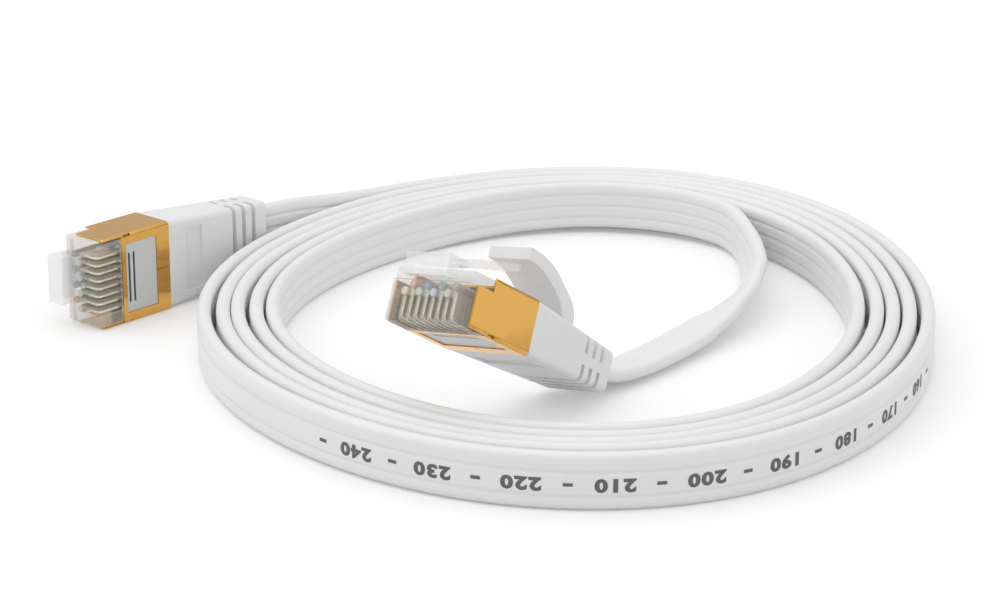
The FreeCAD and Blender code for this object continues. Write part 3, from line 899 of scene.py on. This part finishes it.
class PATCHCABLE_OT_clear_parts(bpy.types.Operator):
    """Round the clear housings and latches"""

    bl_idname = "patch_cable.clear_parts"
    bl_label = "Clear housings and latches"

    def execute(self, context):
        clear = clear_plastic(
            "clear_polycarbonate", colours().clear, roughness=0.04, clearness=0.36, cover=0.34
        )
        bright = clear_plastic(
            "bright_polycarbonate", colours().latch, roughness=0.06, clearness=0.04, cover=0.34
        )
        edge = sizes().clear_edge
        for letter in "ab":
            housing = ("housing_" + letter,)
            latch = "latch_" + letter
            rounded_copy(
                "clear_housing_" + letter, housing, edge, clear, "cable_assembly"
            )
            rounded_copy("spring_" + latch, (latch,), edge, bright, latch)
        return {"FINISHED"}


def boxes_in_plug(name, letter, boxes, material):
    """One piece made of boxes that are given in a plug's own frame, in millimetres."""
    place = plug_matrix(letter)

    def build(bm):
        for low, high in boxes:
            corners = bmesh.ops.create_cube(bm, size=1)["verts"]
            middle = (Vector(low) + Vector(high)) / 2
            span = Vector(high) - Vector(low)
            for vertex in corners:
                local = Vector(a * b for a, b in zip(vertex.co, span)) + middle
                vertex.co = place @ local

    piece = mesh_piece(name, build)
    dress(piece, material)
    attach(piece, "cable_assembly")
    return piece


class PATCHCABLE_OT_shields(bpy.types.Operator):
    """Round the cut edges of the gold shields, set the plates in their windows and lay a sheet of
    painted shade under their slits
    """

    bl_idname = "patch_cable.shields"
    bl_label = "Shields and window plates"

    def execute(self, context):
        tones = colours()
        gold = plated_sheet("gold_plated_sheet", tones.gold, roughness=0.12, stain=0.9)
        plate = moulded_plastic(
            "satin_nylon_plate", tones.plate, roughness=0.35, ior=IOR_NYLON, grain_mm=0.3, bump=0.1
        )
        # Painted shade: a near-black finish for the sheet under the slits, in place of the shade
        # inside the plug
        dark = moulded_plastic(
            "painted_slit_shade",
            tones.slit,
            roughness=0.6,
            ior=IOR_SOFT_MOULDING,
            grain_mm=0.3,
            bump=0.1,
        )
        edge = sizes().sheet_edge
        for letter in "ab":
            shield = ("shield_" + letter,)
            rounded_copy(
                "gold_shield_" + letter, shield, edge, gold, "cable_assembly"
            )
            boxes_in_plug("window_plate_" + letter, letter, WINDOW_PLATE, plate)
            # The sheet of painted shade that shows through the slits
            boxes_in_plug("slit_lining_" + letter, letter, SLIT_SHADE_SHEET, dark)
        return {"FINISHED"}


def blade_shape(bm):
    """One high contact blade in the plug's own frame, in metres, with a round nose."""
    for vertex in bmesh.ops.create_cube(bm, size=1)["verts"]:
        vertex.co.x = (BLADE_START + (vertex.co.x + 0.5) * BLADE_LENGTH) * MM
        vertex.co.y *= BLADE_THICKNESS * MM
        vertex.co.z = (vertex.co.z + 0.5) * HIGH_BLADE * MM
    nose = [
        edge for edge in bm.edges
        if all(v.co.x < (BLADE_START + BLADE_NEAR) * MM for v in edge.verts)
        and all(v.co.z < BLADE_NEAR * MM for v in edge.verts)
    ]
    bmesh.ops.bevel(
        bm,
        geom=nose,
        offset=BLADE_NOSE * MM,
        segments=BLADE_NOSE_SEGMENTS,
        profile=0.5,
        affect="EDGES",
    )
    round_edges(bm, BLADE_EDGE * MM)


def blade_row(letter, material):
    """Eight contact blades of one plug, two heights in turn, set in a row by Geometry Nodes."""
    holder = mesh_piece("contact_blades_" + letter, blade_shape)
    tree, given, values = new_group(
        "blades_in_a_row",
        (
            ("Count", "NodeSocketInt", PINS),
            ("Pitch", "NodeSocketFloat", PIN_PITCH * MM),
            ("First Pin", "NodeSocketFloat", (PINS - 1) / 2 * PIN_PITCH * MM),
            ("Low Share", "NodeSocketFloat", LOW_BLADE / HIGH_BLADE),
        ),
    )
    back = add_node(
        tree, "ShaderNodeMath", operation="MULTIPLY", inputs={1: -1.0}, links={0: given["Pitch"]}
    )
    step = add_node(tree, "ShaderNodeCombineXYZ", links={"Y": back.outputs["Value"]})
    first = add_node(tree, "ShaderNodeCombineXYZ", links={"Y": given["First Pin"]})
    places = add_node(
        tree,
        "GeometryNodeMeshLine",
        links={
            "Count": given["Count"],
            "Start Location": first.outputs["Vector"],
            "Offset": step.outputs["Vector"],
        },
    )
    index = add_node(tree, "GeometryNodeInputIndex")
    odd = add_node(
        tree,
        "ShaderNodeMath",
        operation="MODULO",
        inputs={1: 2.0},
        links={0: index.outputs["Index"]},
    )
    height = add_node(
        tree,
        "ShaderNodeMapRange",
        inputs={"To Max": 1.0},
        links={"Value": odd.outputs["Value"], "To Min": given["Low Share"]},
    )
    scale = add_node(
        tree,
        "ShaderNodeCombineXYZ",
        inputs={"X": 1.0, "Y": 1.0},
        links={"Z": height.outputs["Result"]},
    )
    placed = add_node(
        tree,
        "GeometryNodeInstanceOnPoints",
        links={
            "Points": places.outputs["Mesh"],
            "Instance": given["Geometry"],
            "Scale": scale.outputs["Vector"],
        },
    )
    end_group(tree, placed.outputs["Instances"], material)
    hang_group(holder, tree, values)
    piece = plain_mesh(holder)
    recess = Matrix.Translation((0, 0, BLADE_RECESS))
    piece.data.transform(plug_matrix(letter) @ recess @ Matrix.Scale(1 / MM, 4))
    piece.data.update()
    piece = even_shading(piece)
    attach(piece, "cable_assembly")
    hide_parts("contacts_" + letter)
    return piece


class PATCHCABLE_OT_contacts(bpy.types.Operator):
    """Set the eight contact blades of each plug in their slots"""

    bl_idname = "patch_cable.contacts"
    bl_label = "Contact blades"

    def execute(self, context):
        plate = plated_sheet("gold_flashed_contact", colours().contact, roughness=0.22, stain=0.9)
        for letter in "ab":
            blade_row(letter, plate)
        return {"FINISHED"}


class PATCHCABLE_OT_plugs(bpy.types.Operator):
    """Give the other pieces of both plugs their finishes"""

    bl_idname = "patch_cable.plugs"
    bl_label = "Wires, load bars and jacket ends"

    def execute(self, context):
        tones = colours()
        finishes = {
            "jacket_end": jacket_plastic("white_pvc_end"),
            "load_bar": moulded_plastic(
                "natural_nylon", tones.nylon, roughness=0.4, ior=IOR_NYLON, grain_mm=0.3, bump=0.1
            ),
            "crimp_band": plated_sheet("tinned_strip", tones.strip, roughness=0.3),
        }
        for pin, (colour, hex_colour) in enumerate(WIRE_COLOURS.items(), 1):
            finishes["wire_" + str(pin) + "_" + colour] = moulded_plastic(
                "insulation_" + colour,
                linear(hex_colour),
                roughness=0.35,
                ior=IOR_POLYETHYLENE,
                grain_mm=0.4,
                bump=0.05,
            )
        for stem, material in finishes.items():
            for letter in "ab":
                dress(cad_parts[stem + "_" + letter], material)
        return {"FINISHED"}


def any_ray(tree, *kinds):
    """1 for a ray of one of these kinds, else 0."""
    rays = add_node(tree, "ShaderNodeLightPath").outputs
    seen = rays[kinds[0]]
    for kind in kinds[1:]:
        more = add_node(
            tree, "ShaderNodeMath", operation="MAXIMUM", links={0: seen, 1: rays[kind]}
        )
        seen = more.outputs["Value"]
    return seen


def pale_floor():
    """A wide matt floor that glows a little for what is seen or mirrored, not for its light."""

    def build(bm):
        corners = [(-1, -1), (1, -1), (1, 1), (-1, 1)]
        bm.faces.new([bm.verts.new((x * FLOOR_REACH, y * FLOOR_REACH, 0)) for x, y in corners])

    floor = mesh_piece("floor", build)
    material = new_material("pale_floor")
    tree = material.node_tree
    matte = add_node(
        tree, "ShaderNodeBsdfDiffuse", inputs={"Color": (FLOOR_GREY, FLOOR_GREY, FLOOR_GREY, 1.0)}
    )
    glow = add_node(tree, "ShaderNodeEmission", inputs={"Color": WHITE, "Strength": FLOOR_GLOW})
    lifted = add_node(
        tree,
        "ShaderNodeAddShader",
        links={0: matte.outputs["BSDF"], 1: glow.outputs["Emission"]},
    )
    mixed = add_node(
        tree,
        "ShaderNodeMixShader",
        links={
            "Fac": any_ray(tree, "Is Camera Ray", "Is Glossy Ray", "Is Transmission Ray"),
            1: matte.outputs["BSDF"],
            2: lifted.outputs["Shader"],
        },
    )
    finish_material(material, mixed.outputs["Shader"])
    dress(floor, material)


def studio_world():
    """Soft light from all around, brighter above in mirrors, and plain white where it is seen."""
    world = bpy.data.worlds.new("studio")
    world.use_nodes = True
    tree = world.node_tree
    tree.nodes.clear()
    towards = add_node(tree, "ShaderNodeTexCoord").outputs["Generated"]
    height = add_node(tree, "ShaderNodeSeparateXYZ", links={"Vector": towards})
    (low, high), (faint, bright) = MIRRORED_HEIGHTS, MIRRORED_LIGHT
    sky = add_node(
        tree,
        "ShaderNodeMapRange",
        inputs={"From Min": low, "From Max": high, "To Min": faint, "To Max": bright},
        links={"Value": height.outputs["Z"]},
    )
    light = add_node(
        tree, "ShaderNodeBackground", inputs={"Color": WHITE, "Strength": SKY_LIGHT}
    )
    mirrored = add_node(
        tree,
        "ShaderNodeBackground",
        inputs={"Color": WHITE},
        links={"Strength": sky.outputs["Result"]},
    )
    white = add_node(tree, "ShaderNodeBackground", inputs={"Color": WHITE, "Strength": 1.0})
    lit = add_node(
        tree,
        "ShaderNodeMixShader",
        links={
            "Fac": any_ray(tree, "Is Glossy Ray"),
            1: light.outputs["Background"],
            2: mirrored.outputs["Background"],
        },
    )
    mixed = add_node(
        tree,
        "ShaderNodeMixShader",
        links={
            "Fac": any_ray(tree, "Is Camera Ray", "Is Transmission Ray"),
            1: lit.outputs["Shader"],
            2: white.outputs["Background"],
        },
    )
    add_node(tree, "ShaderNodeOutputWorld", links={"Surface": mixed.outputs["Shader"]})
    bpy.context.scene.world = world


def facing(name, data, place, target):
    """A new lamp or camera that looks from its place to a target."""
    holder = bpy.data.objects.new(name, data)
    holder.location = place
    way = Vector(target) - Vector(place)
    holder.rotation_euler = way.to_track_quat("-Z", "Y").to_euler()
    bpy.context.scene.collection.objects.link(holder)
    return holder


class PATCHCABLE_OT_stage(bpy.types.Operator):
    """Lay the pale floor, hang the soft lights and place the camera"""

    bl_idname = "patch_cable.stage"
    bl_label = "Stage"

    def execute(self, context):
        pale_floor()
        studio_world()
        for name, place, size, power in LAMPS:
            lamp = bpy.data.lights.new(name, "AREA")
            lamp.shape = "SQUARE"
            lamp.size = size
            lamp.energy = power
            facing(name, lamp, place, (0, 0, 0))
        camera = bpy.data.cameras.new("camera")
        camera.sensor_fit = "HORIZONTAL"
        camera.sensor_width = CAMERA_SENSOR
        camera.lens = CAMERA_LENS
        camera.clip_start, camera.clip_end = CAMERA_CLIP
        eye = Vector(CAMERA_EYE) * MM
        target = Vector(CAMERA_TARGET) * MM
        context.scene.camera = facing("camera", camera, eye, target)
        context.scene.view_settings.view_transform = "Standard"
        return {"FINISHED"}


class PATCHCABLE_PT_pieces(bpy.types.Panel):
    """Lists the operators that make the pieces"""

    bl_idname = "PATCHCABLE_PT_pieces"
    bl_label = "Patch cable"
    bl_space_type = "VIEW_3D"
    bl_region_type = "UI"
    bl_category = "Patch cable"

    def draw(self, context):
        for name in OPERATOR_NAMES:
            self.layout.operator("patch_cable." + name)
        for group in (context.scene.patch_cable_sizes, context.scene.patch_cable_colours):
            for prop in group.bl_rna.properties:
                if prop.identifier not in ("rna_type", "name"):
                    self.layout.prop(group, prop.identifier)


CLASSES = (
    PatchCableSizes,
    PatchCableColours,
    PATCHCABLE_OT_boots,
    PATCHCABLE_OT_clear_parts,
    PATCHCABLE_OT_shields,
    PATCHCABLE_OT_contacts,
    PATCHCABLE_OT_plugs,
    PATCHCABLE_OT_cable,
    PATCHCABLE_OT_marks,
    PATCHCABLE_OT_stage,
    PATCHCABLE_PT_pieces,
)
OPERATOR_NAMES = (
    "boots",
    "clear_parts",
    "shields",
    "contacts",
    "plugs",
    "cable",
    "marks",
    "stage",
)


def register():
    for item in CLASSES:
        bpy.utils.register_class(item)
    bpy.types.Scene.patch_cable_sizes = bpy.props.PointerProperty(type=PatchCableSizes)
    bpy.types.Scene.patch_cable_colours = bpy.props.PointerProperty(type=PatchCableColours)


def unregister():
    del bpy.types.Scene.patch_cable_colours
    del bpy.types.Scene.patch_cable_sizes
    for item in reversed(CLASSES):
        bpy.utils.unregister_class(item)


def main():
    register()
    for name in OPERATOR_NAMES:
        getattr(bpy.ops.patch_cable, name)()


if __name__ == "__main__":
    main()
